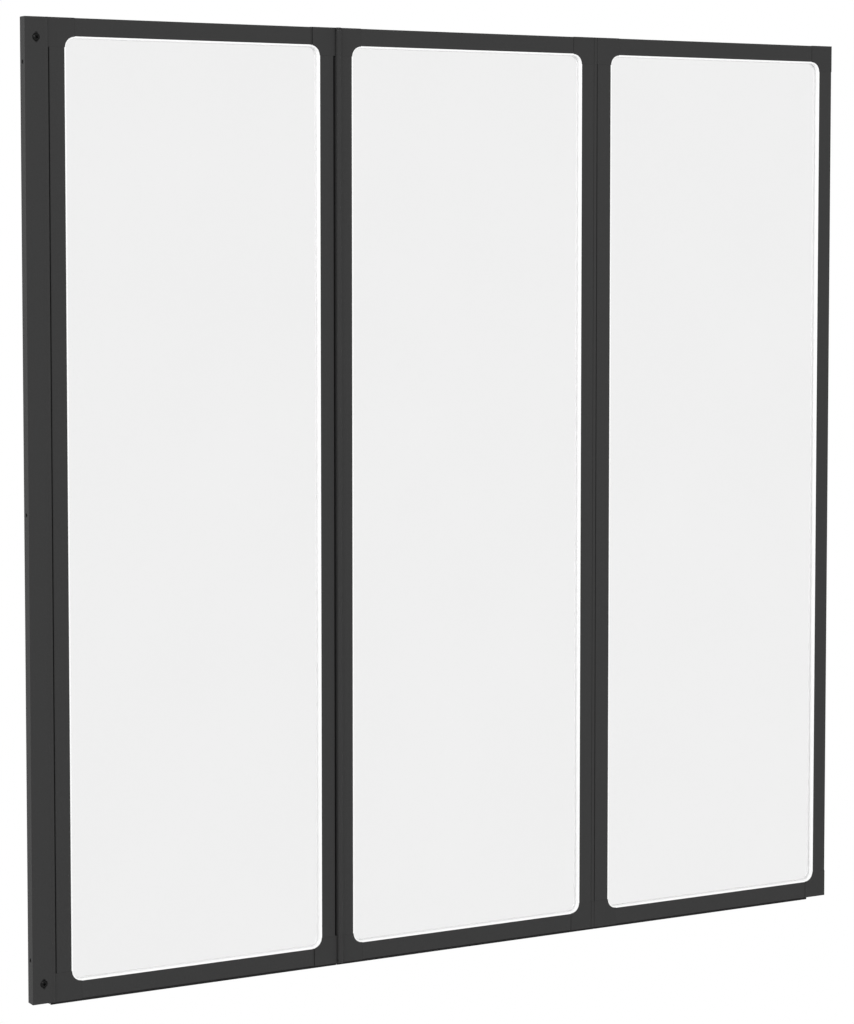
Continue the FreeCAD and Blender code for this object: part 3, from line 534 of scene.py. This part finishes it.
def paleFloor():
    # matt white near the object, where its shadow falls, then plain white out to the horizon
    material, tree, place = startMaterial("pale_floor")
    matt = addNode(tree, "ShaderNodeBsdfDiffuse", {"Color": linear(floor["shade"])}, {})
    white = addNode(tree, "ShaderNodeEmission", {"Color": (1, 1, 1, 1), "Strength": 1.0}, {})
    away = addNode(tree, "ShaderNodeVectorMath", {"operation": "LENGTH"}, {0: place})
    fade = addNode(tree, "ShaderNodeMapRange",
                   {"From Min": floor["fade"][0], "From Max": floor["fade"][1],
                    "interpolation_type": "SMOOTHSTEP"},
                   {"Value": away.outputs["Value"]})
    mixed = addNode(tree, "ShaderNodeMixShader", {},
                    {0: fade.outputs["Result"], 1: matt.outputs["BSDF"], 2: white.outputs["Emission"]})
    addNode(tree, "ShaderNodeOutputMaterial", {}, {"Surface": mixed.outputs["Shader"]})
    return material


bm = bmesh.new()
bmesh.ops.create_circle(bm, cap_ends=True, segments=floor["segments"], radius=floor["radius"])
floorMesh = bpy.data.meshes.new("floor")
bm.to_mesh(floorMesh)
bm.free()
floorMesh.materials.append(paleFloor())
floorObject = bpy.data.objects.new("floor", floorMesh)
floorObject.location = (screenMiddle.x, screenMiddle.y, floor["z"])
scene.collection.objects.link(floorObject)

studio = {
    "ambient": 0.85, "lampSize": 2.4,
    # place in metres, watts, and whether glossy surfaces show the lamp
    "key": ((-2.6, -3.6, 2.4), 60.0, True),
    "fill": ((3.6, -3.4, 1.2), 20.0, False),
    "back": ((-3.0, 3.4, 1.6), 90.0, False),
}
world = bpy.data.worlds.new("studio")
world.use_nodes = True
worldTree = world.node_tree
worldTree.nodes.clear()
ray = addNode(worldTree, "ShaderNodeLightPath", {}, {})
seen = addNode(worldTree, "ShaderNodeMath", {"operation": "MAXIMUM"},
               {0: ray.outputs["Is Camera Ray"], 1: ray.outputs["Is Transmission Ray"]})
shown = addNode(worldTree, "ShaderNodeMath", {"operation": "MAXIMUM"},
                {0: seen.outputs["Value"], 1: ray.outputs["Is Glossy Ray"]})
level = addNode(worldTree, "ShaderNodeMapRange", {"To Min": studio["ambient"], "To Max": 1.0},
                {"Value": shown.outputs["Value"]})
sky = addNode(worldTree, "ShaderNodeBackground", {"Color": (1, 1, 1, 1)},
              {"Strength": level.outputs["Result"]})
addNode(worldTree, "ShaderNodeOutputWorld", {}, {"Surface": sky.outputs["Background"]})
scene.world = world


def softLamp(name):
    place, watts, shiny = studio[name]
    lamp = bpy.data.lights.new(name, "AREA")
    lamp.shape = "DISK"
    lamp.size = studio["lampSize"]
    lamp.energy = watts
    holder = bpy.data.objects.new(name, lamp)
    holder.location = place
    holder.rotation_mode = "QUATERNION"
    holder.rotation_quaternion = (screenMiddle - Vector(place)).to_track_quat("-Z", "Y")
    holder.visible_camera = False
    holder.visible_transmission = False
    holder.visible_glossy = shiny
    scene.collection.objects.link(holder)


for lampName in ("key", "fill", "back"):
    softLamp(lampName)

lens = {
    "place": (-1.4257, -3.5768, 0.3757), "yaw": 29.55, "pitch": 3.656,  # metres, degrees
    "sensor": 36.0, "focal": 103.0,  # mm
    "shift": -0.095, "far": 100.0,
}
eye = bpy.data.cameras.new("camera")
eye.sensor_width = lens["sensor"]
eye.lens = lens["focal"]
eye.shift_y = lens["shift"]
eye.clip_end = lens["far"]
camera = bpy.data.objects.new("camera", eye)
camera.location = lens["place"]
camera.rotation_euler = (math.radians(90 - lens["pitch"]), 0, math.radians(-lens["yaw"]))
scene.collection.objects.link(camera)
scene.camera = camera
scene.view_settings.view_transform = "Standard"
print("floor, light and camera set")
